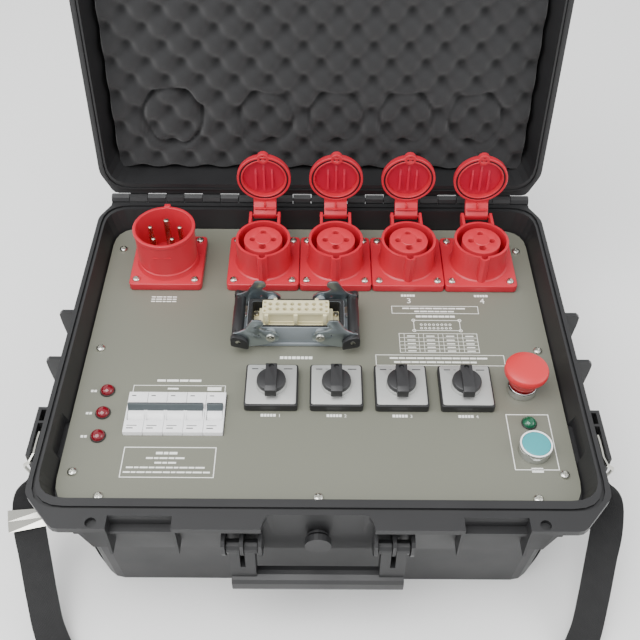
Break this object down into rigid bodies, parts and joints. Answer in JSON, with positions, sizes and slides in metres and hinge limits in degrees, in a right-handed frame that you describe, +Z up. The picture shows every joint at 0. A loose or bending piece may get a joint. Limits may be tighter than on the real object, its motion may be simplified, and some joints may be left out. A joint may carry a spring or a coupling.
{
  "type": "portable motor power controller",
  "caption": "Portable motor power controller: a hinged moulded case with a panel of round sockets, mains inlet, control connector, cam switches, breakers, lamps and push-buttons.",
  "frame": {"origin": "centre of the base's flat underside", "axes": "+Z up out of the base, +Y towards the lid hinge, +X towards the push-buttons and the right-hand latch"},
  "size_m": [0.5544, 0.6366, 0.5967],
  "materials": {
    "case_polypropylene": "moulded, fine texture",
    "steel_zinc": "zinc plated",
    "nickel_steel": "nickel plated",
    "panel_sheet": "satin powder coat",
    "black_nylon": "moulded",
    "terminal_plastic": "moulded",
    "lid_foam": "open-cell foam, egg-crate",
    "gasket_rubber": "matt",
    "red_plastic": "satin moulded",
    "die_cast": "powder-coated die casting",
    "cream_plastic": "moulded",
    "zinc_steel": "zinc plated",
    "switch_plate": "satin",
    "chrome": "polished",
    "estop_red": "satin",
    "start_teal": "satin",
    "lens_red": "clear moulded lens",
    "lens_green": "clear moulded lens",
    "breaker_white": "satin",
    "webbing": "woven polyester"
  },
  "bodies": {
    "case": {"case_base": "case_polypropylene", "connector_housing": "die_cast", "connector_insert": "cream_plastic", "contactor_bank": "black_nylon", "control_breaker": "breaker_white", "estop_body": "chrome", "front_panel": "panel_sheet", "hinge_pin": "steel_zinc", "inlet_housing": "red_plastic", "inlet_insert": "red_plastic", "lamp_green": "lens_green", "lamp_red_1": "lens_red", "lamp_red_2": "lens_red", "lamp_red_3": "lens_red", "main_breaker": "breaker_white", "panel_frame": "steel_zinc", "pressure_valve_body": "black_nylon", "socket_housing_1": "red_plastic", "socket_housing_2": "red_plastic", "socket_housing_3": "red_plastic", "socket_housing_4": "red_plastic", "socket_insert_1": "red_plastic", "socket_insert_2": "red_plastic", "socket_insert_3": "red_plastic", "socket_insert_4": "red_plastic", "start_body": "chrome", "strap_ring_left": "nickel_steel", "strap_ring_right": "nickel_steel", "strap_slider": "nickel_steel", "strap_webbing": "webbing", "switch_base_1": "black_nylon", "switch_base_2": "black_nylon", "switch_base_3": "black_nylon", "switch_base_4": "black_nylon", "switch_plate_1": "switch_plate", "switch_plate_2": "switch_plate", "switch_plate_3": "switch_plate", "switch_plate_4": "switch_plate", "terminal_strip": "terminal_plastic"},
    "lid": {"lid_shell": "case_polypropylene", "lid_foam": "lid_foam", "lid_gasket": "gasket_rubber"},
    "latch_left": {"latch_left": "black_nylon"},
    "latch_right": {"latch_right": "black_nylon"},
    "handle": {"front_handle": "case_polypropylene"},
    "valve_knob": {"pressure_valve_knob": "black_nylon"},
    "flap_1": {"socket_flap_1": "red_plastic"},
    "flap_2": {"socket_flap_2": "red_plastic"},
    "flap_3": {"socket_flap_3": "red_plastic"},
    "flap_4": {"socket_flap_4": "red_plastic"},
    "lever_left": {"lever_left": "zinc_steel"},
    "lever_right": {"lever_right": "zinc_steel"},
    "knob_1": {"switch_knob_1": "black_nylon"},
    "knob_2": {"switch_knob_2": "black_nylon"},
    "knob_3": {"switch_knob_3": "black_nylon"},
    "knob_4": {"switch_knob_4": "black_nylon"},
    "estop": {"estop_button": "estop_red"},
    "start": {"start_button": "start_teal"},
    "main_toggle": {"main_toggle": "terminal_plastic"},
    "control_toggle": {"control_toggle": "terminal_plastic"}
  },
  "joints": [
    {"name": "lid_hinge", "type": "hinge", "parent": "case", "child": "lid", "pos_m": [0, 0.1992, 0.1553], "axis": [1, 0, 0], "range_deg": [0, 97.7]},
    {"name": "latch_left_hinge", "type": "hinge", "parent": "lid", "child": "latch_left", "pos_m": [-0.1428, 0.27031, 0.55659], "axis": [1, 0, 0], "range_deg": [0, 70]},
    {"name": "latch_right_hinge", "type": "hinge", "parent": "lid", "child": "latch_right", "pos_m": [0.1428, 0.27031, 0.55659], "axis": [1, 0, 0], "range_deg": [0, 70]},
    {"name": "handle_hinge", "type": "hinge", "parent": "case", "child": "handle", "pos_m": [0, -0.2065, 0.124], "axis": [-1, 0, 0], "range_deg": [0, 90]},
    {"name": "valve_turn", "type": "hinge", "parent": "case", "child": "valve_knob", "pos_m": [0, -0.204, 0.125], "axis": [0, 1, 0], "range_deg": [0, 120]},
    {"name": "flap_1_hinge", "type": "hinge", "parent": "case", "child": "flap_1", "pos_m": [-0.0586, 0.1592, 0.166], "axis": [1, 0, 0], "range_deg": [0, 90]},
    {"name": "flap_2_hinge", "type": "hinge", "parent": "case", "child": "flap_2", "pos_m": [0.0164, 0.1592, 0.166], "axis": [1, 0, 0], "range_deg": [0, 90]},
    {"name": "flap_3_hinge", "type": "hinge", "parent": "case", "child": "flap_3", "pos_m": [0.0914, 0.1592, 0.166], "axis": [1, 0, 0], "range_deg": [0, 90]},
    {"name": "flap_4_hinge", "type": "hinge", "parent": "case", "child": "flap_4", "pos_m": [0.1664, 0.1592, 0.166], "axis": [1, 0, 0], "range_deg": [0, 90]},
    {"name": "lever_left_hinge", "type": "hinge", "parent": "case", "child": "lever_left", "pos_m": [-0.0465, 0.0242, 0.152], "axis": [0, 1, 0], "range_deg": [0, 65]},
    {"name": "lever_right_hinge", "type": "hinge", "parent": "case", "child": "lever_right", "pos_m": [0.0009, 0.0242, 0.152], "axis": [0, -1, 0], "range_deg": [0, 65]},
    {"name": "switch_1_turn", "type": "hinge", "parent": "case", "child": "knob_1", "pos_m": [-0.044, -0.051, 0.149], "axis": [0, 0, 1], "range_deg": [-45, 45]},
    {"name": "switch_2_turn", "type": "hinge", "parent": "case", "child": "knob_2", "pos_m": [0.016, -0.051, 0.149], "axis": [0, 0, 1], "range_deg": [-45, 45]},
    {"name": "switch_3_turn", "type": "hinge", "parent": "case", "child": "knob_3", "pos_m": [0.076, -0.051, 0.149], "axis": [0, 0, 1], "range_deg": [-45, 45]},
    {"name": "switch_4_turn", "type": "hinge", "parent": "case", "child": "knob_4", "pos_m": [0.136, -0.051, 0.149], "axis": [0, 0, 1], "range_deg": [-45, 45]},
    {"name": "estop_press", "type": "slide", "parent": "case", "child": "estop", "axis": [0, 0, -1], "range_m": [0, 0.003]},
    {"name": "start_press", "type": "slide", "parent": "case", "child": "start", "axis": [0, 0, -1], "range_m": [0, 0.003], "stiffness_N_per_m": 300},
    {"name": "main_toggle_swing", "type": "hinge", "parent": "case", "child": "main_toggle", "pos_m": [-0.1391, -0.07985, 0.128], "axis": [1, 0, 0], "range_deg": [0, 50]},
    {"name": "control_toggle_swing", "type": "hinge", "parent": "case", "child": "control_toggle", "pos_m": [-0.09435, -0.07985, 0.128], "axis": [1, 0, 0], "range_deg": [0, 50]}
  ],
  "couplings": [
    {"joint": "flap_1_hinge", "follows": "lid_hinge", "ratio": 0.921},
    {"joint": "flap_2_hinge", "follows": "lid_hinge", "ratio": 0.921},
    {"joint": "flap_3_hinge", "follows": "lid_hinge", "ratio": 0.921},
    {"joint": "flap_4_hinge", "follows": "lid_hinge", "ratio": 0.921}
  ]
}
